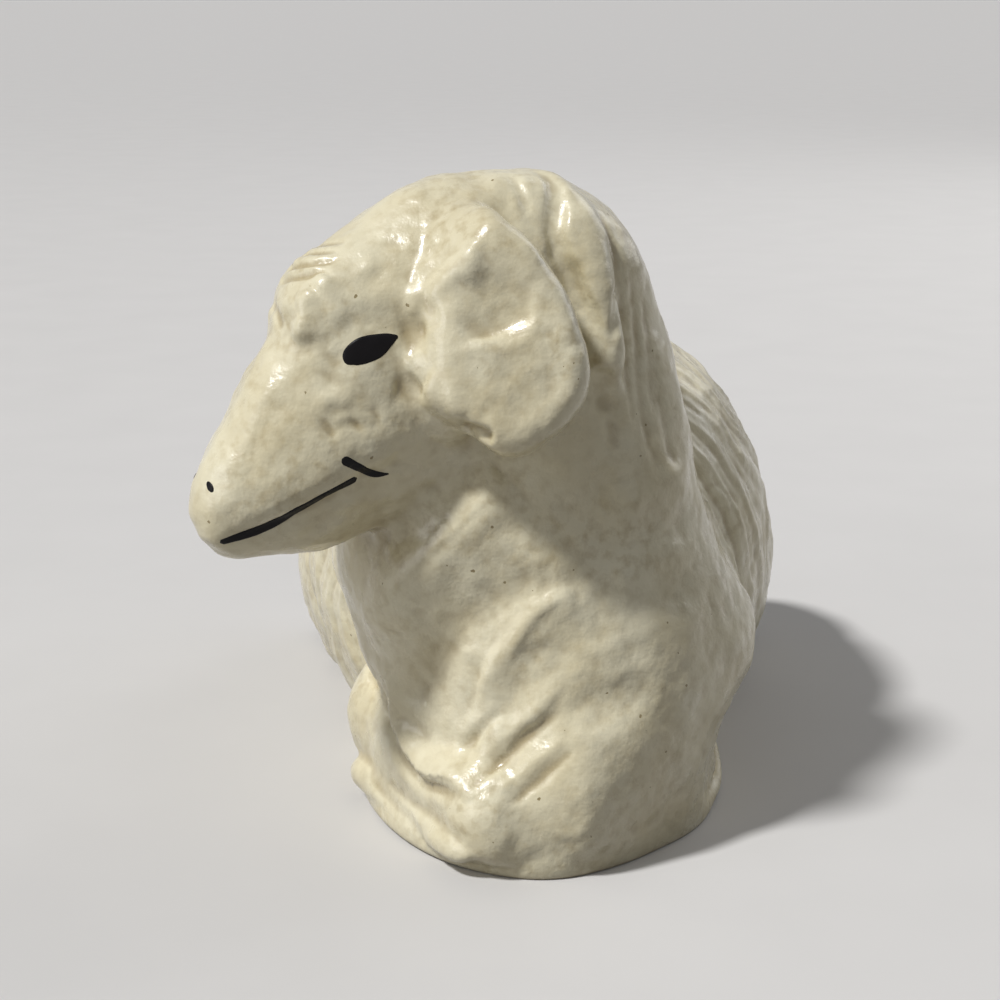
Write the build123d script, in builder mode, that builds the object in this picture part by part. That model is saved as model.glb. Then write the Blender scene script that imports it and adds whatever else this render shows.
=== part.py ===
"""A lying lamb, a small glazed ceramic figure luted from cast pieces. Millimetres, Z up, facing -Y."""

import os

from build123d import *

# Overall sizes of the figure
FIGURE_LENGTH = 118.0
FIGURE_WIDTH = 80.0
FIGURE_HEIGHT = 90.0
HALF_LENGTH = FIGURE_LENGTH / 2
HALF_WIDTH = FIGURE_WIDTH / 2

# Base plate and its vent hole
BASE_THICKNESS = 2.0
BASE_EDGE_RADIUS = 0.6
VENT_DIAMETER = 7.0
VENT_DEPTH = 26.0
VENT_PLACE_SHARE = 0.30

# Head, measured along its own axis from nose to poll
HEAD_LENGTH = 63.0
HEAD_DEPTH = 39.0
HEAD_WIDTH = 28.0
HEAD_YAW = 62.0
HEAD_PITCH = 27.0
HEAD_PLACE_SHARES = (-0.28, -0.615, 0.745)

# Ears
EAR_LENGTH = 27.0
EAR_WIDTH = 19.0
EAR_THICKNESS = 8.0
EAR_TILT = 20.0
EAR_DROOP = 24.0
HOLLOW_DEPTH = 1.2

# Black enamel on the face
ENAMEL_THICKNESS = 0.3
STROKE_WIDTH = 1.1
NOSTRIL_LENGTH = 1.7
NOSTRIL_WIDTH = 1.1
EYE_LENGTH = 7.0
EYE_HEIGHT = 3.4
EYE_TILT = 3.0

# Outline of the base plate, half of it, as shares of the half width and half length
BASE_OUTLINE_SHARES = (
    (0.0, -0.965),
    (0.26, -0.92),
    (0.50, -0.75),
    (0.65, -0.47),
    (0.67, -0.14),
    (0.70, 0.20),
    (0.83, 0.47),
    (0.74, 0.70),
    (0.36, 0.84),
    (0.0, 0.88),
)

# Torso stations: place along the length, middle height, half width, half height
TORSO_SHARES = (
    (-0.58, 0.290, 0.40, 0.21),
    (-0.37, 0.300, 0.66, 0.34),
    (-0.14, 0.312, 0.84, 0.42),
    (0.14, 0.310, 0.90, 0.42),
    (0.41, 0.290, 0.87, 0.385),
    (0.67, 0.255, 0.71, 0.32),
    (0.84, 0.215, 0.45, 0.22),
    (0.93, 0.195, 0.18, 0.09),
)
TORSO_END_SHARES = (0.955, 0.19)

# Neck stations: height, place across, place along, half width, half length
NECK_SHARES = (
    (0.00, 0.040, -0.525, 0.32, 0.36),
    (0.09, 0.035, -0.520, 0.465, 0.380),
    (0.17, 0.040, -0.500, 0.605, 0.395),
    (0.267, 0.050, -0.475, 0.700, 0.407),
    (0.40, -0.050, -0.490, 0.675, 0.38),
    (0.53, -0.070, -0.515, 0.595, 0.325),
    (0.667, -0.050, -0.510, 0.512, 0.288),
    (0.778, -0.020, -0.505, 0.405, 0.255),
    (0.878, -0.040, -0.530, 0.345, 0.225),
    (0.944, -0.062, -0.560, 0.245, 0.16),
    (0.983, -0.100, -0.585, 0.125, 0.085),
)
NECK_END_SHARES = (-0.105, -0.587, 0.994)
CREST_STATION = 8

# Wool locks on the chest: five points each, from the root to the tip
CHEST_LOCK_SHARES = (
    (
        (0.210, -0.825, 0.419),
        (0.058, -0.865, 0.396),
        (-0.070, -0.875, 0.353),
        (-0.166, -0.864, 0.267),
        (-0.282, -0.825, 0.174),
    ),
    (
        (0.303, -0.828, 0.337),
        (0.140, -0.873, 0.303),
        (-0.005, -0.884, 0.253),
        (-0.134, -0.876, 0.193),
        (-0.262, -0.832, 0.127),
    ),
    (
        (0.338, -0.836, 0.270),
        (0.190, -0.877, 0.234),
        (0.044, -0.892, 0.190),
        (-0.078, -0.891, 0.143),
        (-0.170, -0.858, 0.100),
    ),
)
CHEST_LOCK_WIDTH = 4.8
CHEST_LOCK_RISE = 0.7

# Head stations: place along the axis, middle height, half width, half depth
HEAD_SHARES = (
    (-0.286, 0.154, 0.232, 0.180),
    (-0.206, 0.103, 0.393, 0.346),
    (-0.079, 0.075, 0.486, 0.475),
    (0.079, 0.045, 0.486, 0.497),
    (0.222, 0.031, 0.429, 0.462),
    (0.317, 0.005, 0.379, 0.405),
    (0.413, -0.021, 0.332, 0.333),
    (0.508, -0.046, 0.282, 0.267),
    (0.587, -0.052, 0.228, 0.193),
    (0.640, -0.058, 0.172, 0.134),
    (0.665, -0.062, 0.100, 0.073),
)
POLL_SHARES = (-0.31, 0.16)
NOSE_SHARES = (0.675, -0.064)

# Ear outline, and its place on the head along, out and up
EAR_OUTLINE_SHARES = (
    (0.30, 0.52),
    (0.48, 0.22),
    (0.48, -0.10),
    (0.355, -0.365),
    (0.075, -0.475),
    (-0.335, -0.46),
    (-0.435, -0.34),
    (-0.515, -0.10),
    (-0.355, 0.145),
    (-0.14, 0.365),
)
EAR_PLACE_SHARES = (0.025, 0.680, 0.122)
EAR_LAYER_SHARES = ((-0.80, 0.86), (-0.20, 1.0), (0.05, 0.95), (0.20, 0.76))
HOLLOW_PLACE_SHARES = (0.04, 0.17)
HOLLOW_SIZE_SHARES = (0.25, 0.21)
FAR_EAR_DROP_SHARE = 0.14

# Forelock: strands across the forehead, and each strand's size and place on the head
FORELOCK_STRAND_SHARES = (-0.18, -0.06, 0.06, 0.18)
FORELOCK_PLACE_SHARES = (0.192, 0.432)
FORELOCK_DROP_SHARE = 1.4
FORELOCK_SIZE_SHARES = (0.090, 0.125, 0.115)

# Mane lock stations: height, place across, place along, half width, half length
LOCK_SHARES = (
    (0.955, 0.040, -0.640, 0.080, 0.052),
    (0.855, 0.130, -0.710, 0.085, 0.050),
    (0.755, 0.180, -0.735, 0.072, 0.048),
)
LOCK_TOP_SHARES = (-0.03, -0.59, 0.99)
LOCK_TIP_SHARES = (0.180, -0.770, 0.665)

# Foreleg: its elbow across, right and left, and back from the figure's front, its heading, and its stations along,
# up, half width, half height
RIGHT_ELBOW_SHARE = -0.49
LEFT_ELBOW_SHARE = -0.46
ELBOW_SETBACK = 33.04
FORELEG_TURN = 28.5
FORELEG_REACH = 35.5
FORELEG_WIDTH = 17.0
RIGHT_FORELEG_HEIGHT = 21.0
LEFT_FORELEG_HEIGHT = 27.0
FORELEG_SHARES = (
    (-0.20, 0.52, 0.30, 0.33),
    (0.00, 0.50, 0.46, 0.47),
    (0.29, 0.48, 0.49, 0.48),
    (0.58, 0.43, 0.48, 0.43),
    (0.80, 0.36, 0.46, 0.36),
    (0.92, 0.31, 0.38, 0.28),
    (0.975, 0.27, 0.24, 0.17),
)
FORELEG_END_SHARE = 0.26
SHANK_SHARES = (
    (-0.01, 0.18, 0.13, 0.10),
    (0.10, 0.18, 0.17, 0.14),
    (0.32, 0.17, 0.15, 0.12),
    (0.60, 0.17, 0.15, 0.12),
    (0.84, 0.17, 0.12, 0.10),
)
SHANK_END_SHARES = ((-0.05, 0.18), (0.92, 0.17))
RIGHT_SHANK_SHARE = -0.38
LEFT_SHANK_SHARE = -0.28

# Haunch: its place and its half sizes across, along and up
HAUNCH_PLACE_SHARES = (0.61, 0.47, 0.22)
HAUNCH_SIZE_SHARES = (0.39, 0.42, 0.24)

# Hind foot: its heel, its heading, and its stations along, up, half width, half height
HEEL_SHARES = (0.85, 0.70)
HIND_FOOT_TURN = -8.0
HIND_FOOT_REACH = 25.0
HIND_FOOT_HEIGHT = 10.0
HIND_FOOT_SHARES = (
    (-0.15, 0.60, 0.34, 0.36),
    (0.00, 0.60, 0.52, 0.56),
    (0.40, 0.56, 0.49, 0.52),
    (0.78, 0.50, 0.42, 0.42),
    (0.93, 0.45, 0.30, 0.30),
)
HIND_FOOT_END_SHARES = ((-0.22, 0.60), (1.0, 0.42))

# Tail stations: height, place across, place along, half width, half thickness
TAIL_SHARES = (
    (0.465, 0.0, 0.79, 0.10, 0.065),
    (0.375, 0.0, 0.87, 0.14, 0.075),
    (0.265, 0.0, 0.915, 0.15, 0.080),
    (0.155, 0.0, 0.92, 0.125, 0.070),
    (0.090, 0.0, 0.91, 0.060, 0.040),
)
TAIL_ROOT_SHARES = (0.0, 0.765, 0.50)
TAIL_TIP_SHARES = (0.0, 0.905, 0.070)

# Face marks, along the head's axis and up
EYE_PLACE_SHARES = (0.238, 0.270)
MOUTH_SHARES = ((0.655, -0.092), (0.597, -0.096), (0.517, -0.108), (0.433, -0.103), (0.373, -0.090))
CHEEK_SHARES = ((0.386, -0.005), (0.366, -0.062), (0.318, -0.125))
NOSTRIL_PLACE_SHARES = (0.625, 0.10, 0.085)
NOSTRIL_TURN = 50.0

# How far a mark's outline is carried past the face
OVERRUN = 2.0


def at_shares(across, along, up):
    """A point of the figure from its shares of the overall sizes."""
    return (across * HALF_WIDTH, along * HALF_LENGTH, up * FIGURE_HEIGHT)


def oval(plane, across, up, half_across, half_up):
    """One oval outline on a plane."""
    with BuildSketch(plane) as outline:
        with Locations((across, up)):
            Ellipse(half_across, half_up)
    return outline.sketch


def point_on(plane, across, up):
    """A point where a loft closes."""
    return Vertex(*plane.from_local_coords((across, up, 0)))


def upright_sections(plane, rows, length, width, height, aside=0, growth=0):
    """Ovals along a heading, from rows of place, middle height, half width and half height."""
    sections = []
    for along, middle, half_width, half_height in rows:
        station = plane.offset(along * length)
        sections.append(
            oval(station, aside, middle * height, half_width * width + growth, half_height * height + growth)
        )
    return sections


def level_sections(rows):
    """Level ovals, from rows of height, place across, place along, half width and half length."""
    sections = []
    for up, across, along, half_width, half_length in rows:
        station = Plane.XY.offset(up * FIGURE_HEIGHT)
        sections.append(
            oval(
                station,
                across * HALF_WIDTH,
                along * HALF_LENGTH,
                half_width * HALF_WIDTH,
                half_length * HALF_LENGTH,
            )
        )
    return sections


def ellipsoid(half_across, half_along, half_up):
    """A ball drawn out to three half sizes."""
    with BuildPart() as ball:
        Sphere(1)
        scale(by=(half_across, half_along, half_up))
    return ball.part


def wool_lock(shares):
    """A lock of wool, pointed at both ends, half sunk in the chest."""
    places = [Vector(*at_shares(*point)) for point in shares]
    sections = [Vertex(*places[0])]
    for before, place, after in zip(places, places[1:], places[2:]):
        run = after - before
        station = Plane(origin=place, x_dir=run.cross(Vector(0, 1, 0)), z_dir=run)
        sections.append(oval(station, 0, 0, CHEST_LOCK_WIDTH / 2, CHEST_LOCK_RISE))
    sections.append(Vertex(*places[-1]))
    with BuildPart() as lock:
        loft(sections)
    return lock.part


def head_sections(growth):
    """The outlines of the head, grown outward all round."""
    poll = head_plane.offset(POLL_SHARES[0] * HEAD_LENGTH - growth)
    nose = head_plane.offset(NOSE_SHARES[0] * HEAD_LENGTH + growth)
    sections = [point_on(poll, 0, POLL_SHARES[1] * HEAD_DEPTH)]
    sections += upright_sections(head_plane, HEAD_SHARES, HEAD_LENGTH, HEAD_WIDTH, HEAD_DEPTH, growth=growth)
    sections.append(point_on(nose, 0, NOSE_SHARES[1] * HEAD_DEPTH))
    return sections


def ear_layer(out, growth):
    """The ear's outline at one distance from its middle layer."""
    points = [(growth * back * EAR_WIDTH, growth * up * EAR_LENGTH) for back, up in EAR_OUTLINE_SHARES]
    with BuildSketch(ear_plane.offset(out)) as layer:
        with BuildLine():
            Spline(*points, periodic=True)
        make_face()
    return layer.sketch


def folded_foreleg(elbow_share, shank_share, height):
    """A right foreleg from elbow to knee, with its shank folded back along its outer side."""
    heading = Plane(
        origin=(elbow_share * HALF_WIDTH, ELBOW_SETBACK - HALF_LENGTH, 0),
        x_dir=Vector(1, 0, 0).rotate(Axis.Z, FORELEG_TURN),
        z_dir=Vector(0, -1, 0).rotate(Axis.Z, FORELEG_TURN),
    )
    leg_sizes = (FORELEG_REACH, FORELEG_WIDTH, height)
    shank_aside = shank_share * FORELEG_WIDTH
    shank_ends = [
        point_on(heading.offset(along * FORELEG_REACH), shank_aside, up * height)
        for along, up in SHANK_END_SHARES
    ]
    shank_ovals = upright_sections(heading, SHANK_SHARES, *leg_sizes, aside=shank_aside)
    with BuildPart() as leg:
        knee = point_on(heading.offset(FORELEG_REACH), 0, FORELEG_END_SHARE * height)
        loft(upright_sections(heading, FORELEG_SHARES, *leg_sizes) + [knee])
        loft([shank_ends[0]] + shank_ovals + [shank_ends[1]])
        split(bisect_by=base_top, keep=Keep.TOP)
        split(bisect_by=Plane.YZ, keep=Keep.BOTTOM)
    return leg.part


def on_face(along, up):
    """A point of the face plane from its shares of the head's sizes."""
    return (-along * HEAD_LENGTH, up * HEAD_DEPTH)


def stroke(shares):
    """A brush stroke of even width through a few points of the face."""
    with BuildSketch(face_plane) as mark:
        with BuildLine() as path:
            Spline(*[on_face(along, up) for along, up in shares])
        trace(path.line, line_width=STROKE_WIDTH)
    return mark.sketch


def almond(plane, length, height):
    """A mark with two corners, between two bows, in the middle of a plane."""
    with BuildSketch(plane) as mark:
        with BuildLine():
            ThreePointArc((-length / 2, 0), (0, height / 2), (length / 2, 0))
            ThreePointArc((length / 2, 0), (0, -height / 2), (-length / 2, 0))
        make_face()
    return mark.sketch


def spot(plane, length, height):
    """An oval mark in the middle of a plane."""
    with BuildSketch(plane) as mark:
        Ellipse(length / 2, height / 2)
    return mark.sketch


def enamel(mark):
    """A thin film of enamel on the left of the head, under one mark."""
    with BuildPart() as film:
        extrude(mark, amount=HEAD_WIDTH / 2 + OVERRUN)
        add(head_skin.part, mode=Mode.INTERSECT)
        add(head.part, mode=Mode.SUBTRACT)
    return film.part


def other_side(piece, plane):
    """The same piece on the other side of a plane."""
    with BuildPart() as twin:
        add(mirror(piece, about=plane, mode=Mode.PRIVATE))
    return twin.part


# Where the parts of the figure lie
base_top = Plane.XY.offset(BASE_THICKNESS)
level_forward = Vector(0, -1, 0).rotate(Axis.Z, -HEAD_YAW)
head_left = Vector(1, 0, 0).rotate(Axis.Z, -HEAD_YAW)
head_forward = level_forward.rotate(Axis((0, 0, 0), head_left), HEAD_PITCH)
head_plane = Plane(origin=at_shares(*HEAD_PLACE_SHARES), x_dir=head_left, z_dir=head_forward)
head_middle = Plane(origin=head_plane.origin, x_dir=head_forward, z_dir=head_left)
face_plane = Plane(origin=head_plane.origin, x_dir=-head_forward, z_dir=head_left)
eye_tilt_axis = Axis((0, 0, 0), head_left)
eye_along, eye_up = EYE_PLACE_SHARES
eye_plane = Plane(
    origin=head_plane.from_local_coords((0, eye_up * HEAD_DEPTH, eye_along * HEAD_LENGTH)),
    x_dir=(-head_forward).rotate(eye_tilt_axis, EYE_TILT),
    z_dir=head_left,
)
ear_along, ear_out, ear_up = EAR_PLACE_SHARES
ear_root = (ear_out * HEAD_WIDTH, ear_up * HEAD_DEPTH, ear_along * HEAD_LENGTH)
ear_hinge = Axis((0, 0, 0), head_plane.y_dir)
ear_back = (-head_forward).rotate(ear_hinge, -EAR_TILT)
ear_face = head_left.rotate(ear_hinge, -EAR_TILT).rotate(Axis((0, 0, 0), ear_back), -EAR_DROOP)
ear_plane = Plane(origin=head_plane.from_local_coords(ear_root), x_dir=ear_back, z_dir=ear_face)
nostril_along, nostril_out, nostril_up = NOSTRIL_PLACE_SHARES
nostril_place = (nostril_out * HEAD_WIDTH, nostril_up * HEAD_DEPTH, nostril_along * HEAD_LENGTH)
nostril_plane = Plane(
    origin=head_plane.from_local_coords(nostril_place),
    x_dir=(-head_forward).rotate(ear_hinge, -NOSTRIL_TURN),
    z_dir=head_left.rotate(ear_hinge, -NOSTRIL_TURN),
)
hind_foot_plane = Plane(
    origin=at_shares(*HEEL_SHARES, 0),
    x_dir=Vector(1, 0, 0).rotate(Axis.Z, HIND_FOOT_TURN),
    z_dir=Vector(0, -1, 0).rotate(Axis.Z, HIND_FOOT_TURN),
)
crest_across, crest_along = NECK_SHARES[CREST_STATION][1:3]
lock_middle = Plane(origin=at_shares(crest_across, crest_along, 0), z_dir=head_left)

# Base plate
with BuildPart() as base_plate:
    right_side = [(across * HALF_WIDTH, along * HALF_LENGTH) for across, along in BASE_OUTLINE_SHARES]
    left_side = [(-across, along) for across, along in right_side[-2:0:-1]]
    with BuildSketch():
        with BuildLine():
            Spline(*right_side, *left_side, periodic=True)
        make_face()
    extrude(amount=BASE_THICKNESS)
    fillet(base_plate.edges().group_by(Axis.Z)[0], radius=BASE_EDGE_RADIUS)
    with BuildSketch():
        with Locations((0, VENT_PLACE_SHARE * HALF_LENGTH)):
            Circle(VENT_DIAMETER / 2)
    extrude(amount=BASE_THICKNESS, mode=Mode.SUBTRACT)

# Torso, with the vent carried up into it
with BuildPart() as torso:
    rump = Vertex(*at_shares(0, *TORSO_END_SHARES))
    torso_ovals = upright_sections(Plane.XZ, TORSO_SHARES, -HALF_LENGTH, HALF_WIDTH, FIGURE_HEIGHT)
    loft(torso_ovals + [rump])
    split(bisect_by=base_top, keep=Keep.TOP)
    with BuildSketch(base_top):
        with Locations((0, VENT_PLACE_SHARE * HALF_LENGTH)):
            Circle(VENT_DIAMETER / 2)
    extrude(amount=VENT_DEPTH, mode=Mode.SUBTRACT)

# Head, and the skin that the enamel fills
with BuildPart() as head:
    loft(head_sections(0))

with BuildPart() as head_skin:
    loft(head_sections(ENAMEL_THICKNESS))

# Neck and chest, seated on the torso and round the back of the head
with BuildPart() as neck:
    dome = Vertex(*at_shares(*NECK_END_SHARES))
    loft(level_sections(NECK_SHARES) + [dome])
    for shares in CHEST_LOCK_SHARES:
        add(wool_lock(shares))
    split(bisect_by=base_top, keep=Keep.TOP)
    add(torso.part, mode=Mode.SUBTRACT)
    add(head.part, mode=Mode.SUBTRACT)

# Ears, each a cushion with a hollow in its face
with BuildPart() as ear_blank:
    loft([ear_layer(out * EAR_THICKNESS, growth) for out, growth in EAR_LAYER_SHARES])
    hollow = (
        HOLLOW_PLACE_SHARES[0] * EAR_WIDTH,
        HOLLOW_PLACE_SHARES[1] * EAR_LENGTH,
        EAR_LAYER_SHARES[-1][0] * EAR_THICKNESS,
    )
    with Locations(ear_plane.location * Location(hollow)):
        add(
            ellipsoid(HOLLOW_SIZE_SHARES[0] * EAR_WIDTH, HOLLOW_SIZE_SHARES[1] * EAR_LENGTH, HOLLOW_DEPTH),
            mode=Mode.SUBTRACT,
        )

with BuildPart() as left_ear:
    add(ear_blank.part)
    add(head.part, mode=Mode.SUBTRACT)
    add(neck.part, mode=Mode.SUBTRACT)

with BuildPart() as right_ear:
    far_ear_drop = head_plane.y_dir * (-FAR_EAR_DROP_SHARE * EAR_LENGTH)
    with Locations(far_ear_drop):
        add(other_side(ear_blank.part, head_middle))
    add(head.part, mode=Mode.SUBTRACT)
    add(neck.part, mode=Mode.SUBTRACT)
    add(torso.part, mode=Mode.SUBTRACT)

# Forelock, a row of combed strands
with BuildPart() as forelock:
    strand_width, strand_length, strand_height = FORELOCK_SIZE_SHARES
    strand = ellipsoid(strand_width * HEAD_WIDTH, strand_height * HEAD_DEPTH, strand_length * HEAD_LENGTH)
    strand_along, strand_up = FORELOCK_PLACE_SHARES
    for aside in FORELOCK_STRAND_SHARES:
        drop = FORELOCK_DROP_SHARE * aside * aside
        place = (aside * HEAD_WIDTH, (strand_up - drop) * HEAD_DEPTH, strand_along * HEAD_LENGTH)
        with Locations(head_plane.location * Location(place)):
            add(strand)
    add(head.part, mode=Mode.SUBTRACT)

# Mane locks, hung behind the ears
with BuildPart() as lock_blank:
    lock_top = Vertex(*at_shares(*LOCK_TOP_SHARES))
    lock_tip = Vertex(*at_shares(*LOCK_TIP_SHARES))
    loft([lock_top] + level_sections(LOCK_SHARES) + [lock_tip])

with BuildPart() as left_mane_lock:
    add(lock_blank.part)
    add(neck.part, mode=Mode.SUBTRACT)
    add(head.part, mode=Mode.SUBTRACT)
    add(torso.part, mode=Mode.SUBTRACT)
    add(left_ear.part, mode=Mode.SUBTRACT)

with BuildPart() as right_mane_lock:
    add(other_side(lock_blank.part, lock_middle))
    add(neck.part, mode=Mode.SUBTRACT)
    add(head.part, mode=Mode.SUBTRACT)
    add(torso.part, mode=Mode.SUBTRACT)
    add(right_ear.part, mode=Mode.SUBTRACT)

# Forelegs
with BuildPart() as right_foreleg:
    add(folded_foreleg(RIGHT_ELBOW_SHARE, RIGHT_SHANK_SHARE, RIGHT_FORELEG_HEIGHT))
    add(neck.part, mode=Mode.SUBTRACT)
    add(torso.part, mode=Mode.SUBTRACT)

with BuildPart() as left_foreleg:
    add(other_side(folded_foreleg(LEFT_ELBOW_SHARE, LEFT_SHANK_SHARE, LEFT_FORELEG_HEIGHT), Plane.YZ))
    add(neck.part, mode=Mode.SUBTRACT)
    add(torso.part, mode=Mode.SUBTRACT)

# Haunches and hind feet
with BuildPart() as left_haunch:
    across, along, up = HAUNCH_SIZE_SHARES
    with Locations(at_shares(*HAUNCH_PLACE_SHARES)):
        add(ellipsoid(*at_shares(across, along, up)))
    split(bisect_by=base_top, keep=Keep.TOP)
    add(torso.part, mode=Mode.SUBTRACT)

with BuildPart() as left_hind_foot:
    hind_foot_ends = [
        point_on(hind_foot_plane.offset(along * HIND_FOOT_REACH), 0, up * HIND_FOOT_HEIGHT)
        for along, up in HIND_FOOT_END_SHARES
    ]
    hind_foot_ovals = upright_sections(
        hind_foot_plane, HIND_FOOT_SHARES, HIND_FOOT_REACH, HIND_FOOT_HEIGHT, HIND_FOOT_HEIGHT
    )
    loft([hind_foot_ends[0]] + hind_foot_ovals + [hind_foot_ends[1]])
    split(bisect_by=base_top, keep=Keep.TOP)
    add(torso.part, mode=Mode.SUBTRACT)
    add(left_haunch.part, mode=Mode.SUBTRACT)

# Tail
with BuildPart() as tail:
    tail_root = Vertex(*at_shares(*TAIL_ROOT_SHARES))
    tail_tip = Vertex(*at_shares(*TAIL_TIP_SHARES))
    loft([tail_root] + level_sections(TAIL_SHARES) + [tail_tip])
    add(torso.part, mode=Mode.SUBTRACT)

# Enamel on the left of the face
left_eye = enamel(almond(eye_plane, EYE_LENGTH, EYE_HEIGHT))
left_mouth_line = enamel(stroke(MOUTH_SHARES))
left_cheek_stroke = enamel(stroke(CHEEK_SHARES))
left_nostril = enamel(spot(nostril_plane, NOSTRIL_LENGTH, NOSTRIL_WIDTH))

# Every piece under its name
pieces = {
    "base_plate": base_plate.part,
    "torso": torso.part,
    "neck": neck.part,
    "head": head.part,
    "left_ear": left_ear.part,
    "right_ear": right_ear.part,
    "forelock": forelock.part,
    "left_mane_lock": left_mane_lock.part,
    "right_mane_lock": right_mane_lock.part,
    "left_foreleg": left_foreleg.part,
    "right_foreleg": right_foreleg.part,
    "left_haunch": left_haunch.part,
    "right_haunch": other_side(left_haunch.part, Plane.YZ),
    "left_hind_foot": left_hind_foot.part,
    "right_hind_foot": other_side(left_hind_foot.part, Plane.YZ),
    "tail": tail.part,
    "left_eye": left_eye,
    "right_eye": other_side(left_eye, head_middle),
    "left_mouth_line": left_mouth_line,
    "right_mouth_line": other_side(left_mouth_line, head_middle),
    "left_cheek_stroke": left_cheek_stroke,
    "right_cheek_stroke": other_side(left_cheek_stroke, head_middle),
    "left_nostril": left_nostril,
    "right_nostril": other_side(left_nostril, head_middle),
}

os.makedirs("parts", exist_ok=True)
for name, piece in pieces.items():
    piece.label = name
    export_step(piece, "parts/" + name + ".step")
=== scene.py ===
"""The lamb figurine's looks: one clay skin cut into the part's pieces, glaze, enamel, light and camera."""
import math

import bpy
import numpy as np
import openvdb
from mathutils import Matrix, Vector


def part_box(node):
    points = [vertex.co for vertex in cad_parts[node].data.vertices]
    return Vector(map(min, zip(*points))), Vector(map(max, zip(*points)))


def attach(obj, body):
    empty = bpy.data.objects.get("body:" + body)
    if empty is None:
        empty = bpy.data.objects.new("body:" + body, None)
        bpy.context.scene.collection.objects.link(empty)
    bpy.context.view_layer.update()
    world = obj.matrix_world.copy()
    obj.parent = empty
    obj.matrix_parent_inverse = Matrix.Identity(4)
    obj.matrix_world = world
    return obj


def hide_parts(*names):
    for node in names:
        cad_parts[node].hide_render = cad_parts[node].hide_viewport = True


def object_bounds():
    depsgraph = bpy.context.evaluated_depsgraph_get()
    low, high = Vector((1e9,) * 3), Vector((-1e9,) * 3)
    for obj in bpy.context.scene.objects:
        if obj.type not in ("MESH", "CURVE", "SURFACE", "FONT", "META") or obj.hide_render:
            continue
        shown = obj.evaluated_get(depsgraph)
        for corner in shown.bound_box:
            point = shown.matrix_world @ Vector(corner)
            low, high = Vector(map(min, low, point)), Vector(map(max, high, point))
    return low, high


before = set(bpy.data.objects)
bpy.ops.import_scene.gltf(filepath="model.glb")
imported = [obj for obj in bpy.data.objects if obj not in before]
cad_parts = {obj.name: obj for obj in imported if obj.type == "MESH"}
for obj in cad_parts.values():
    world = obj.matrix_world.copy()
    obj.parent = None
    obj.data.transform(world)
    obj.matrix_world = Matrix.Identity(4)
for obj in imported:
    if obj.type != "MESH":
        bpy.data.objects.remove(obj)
cad_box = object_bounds()

# Units: the clay is shaped in millimetres, the scene is in metres
MM = 0.001

# The photograph's camera, in the part's frame
CAMERA_PLACE = np.array((-6.0, -283.0, 111.7))
CAMERA_PITCH = math.radians(15)
FOCAL_PIXELS = 1906
IMAGE_SIZE = 1000
SENSOR_WIDTH = 36
CAMERA_RIGHT = np.array((1.0, 0.0, 0.0))
CAMERA_FORWARD = np.array((0.0, math.cos(CAMERA_PITCH), -math.sin(CAMERA_PITCH)))
CAMERA_UP = np.array((0.0, math.sin(CAMERA_PITCH), math.cos(CAMERA_PITCH)))

# From the object towards the main lamp, its strength and its width
KEY_DIRECTION = (-0.50, -0.29, 0.81)
KEY_POWER = 2.8
KEY_ANGLE = math.radians(7)

# The other lamps: name, place in metres, size in metres, power in watts, and the place that all of them face
LAMPS = (
    ("fill", (0.5, -0.6, 0.4), 0.6, 0.2),
    ("left_fill", (-0.55, -0.28, 0.17), 0.3, 0.6),
    ("back_fill", (0.7, 0.5, 0.6), 0.8, 2.4),
)
LAMP_TARGET = (0, -0.02, 0.045)

# The head's own frame
HEAD_PLACE = np.array((-11.2, -36.3, 67.05))
HEAD_FORWARD = np.array((-0.787, -0.418, -0.454))
HEAD_LEFT = np.array((0.469, -0.883, 0.0))
HEAD_UP = np.array((-0.401, -0.213, 0.891))

# The clay's grid, and the shells' thickness
VOXEL = 0.4
BAND_VOXELS = 11
GRID_MARGIN = 4.0
WALL = 0.8

# A blur's reach in its own sizes, and a ray's steps to the clay: count, share of the distance, bounds
BLUR_REACH = 2
RAY_STEPS = 160
RAY_SHARE = 0.8
RAY_BACK = -1.0
RAY_AHEAD = 2.0
TINY = 1e-9

# A hollow: how far round a point the clay is felt, and the depth that counts as full
HOLLOW_REACH = 1.2
HOLLOW_DEPTH = 0.22

# An ear's front and top run into the head, its back edge stands free: the fillet grows between two places
EAR_FRONT_FILLET = 8.0
EAR_FILLET_START = 0.0
EAR_FILLET_END = 7.0
EAR_FILLET_DIRECTION = 0.8 * HEAD_FORWARD + 0.6 * HEAD_UP

# How far the glaze rounds the clay's edges
GLAZE_ROUNDING = 0.5

# Clay pressed in between the folded forelegs and the chest: its middle and half sizes
FILLER_PLACE = np.array((7.0, -42.5, 4.0))
FILLER_SIZES = np.array((17.5, 13.5, 27.0))
FILLER_FILLET = 5.0

# The chest's left front corner is drawn in towards the floor by a leaning cut: a place on it, its outward
# direction and the rounding of its edges
CORNER_PLACE = np.array((9.0, -54.5, 0.0))
CORNER_OUTWARD = np.array((0.69, -0.69, -0.22))
CORNER_ROUNDING = 7.0

# Places that a wet finger smoothed before the tool strokes: the tuft's half sizes, then photograph pixels on
# the ear and the chest, each with its reach and whether the other side of the head has it too
FINGER_ROUNDING = 1.2
FINGER_FADE = 2
TUFT_SIZES = np.array((11.0, 11.0, 9.0))
SMOOTHED_PLACES = (
    ((472, 268), 8.0, True),
    ((540, 634), 8.0, False),
    ((540, 726), 7.0, False),
)

# How much of the wool's ripple each piece has
WOOL_SHARES = {"torso": 1.0, "left_haunch": 0.5, "right_haunch": 0.25}

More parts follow.
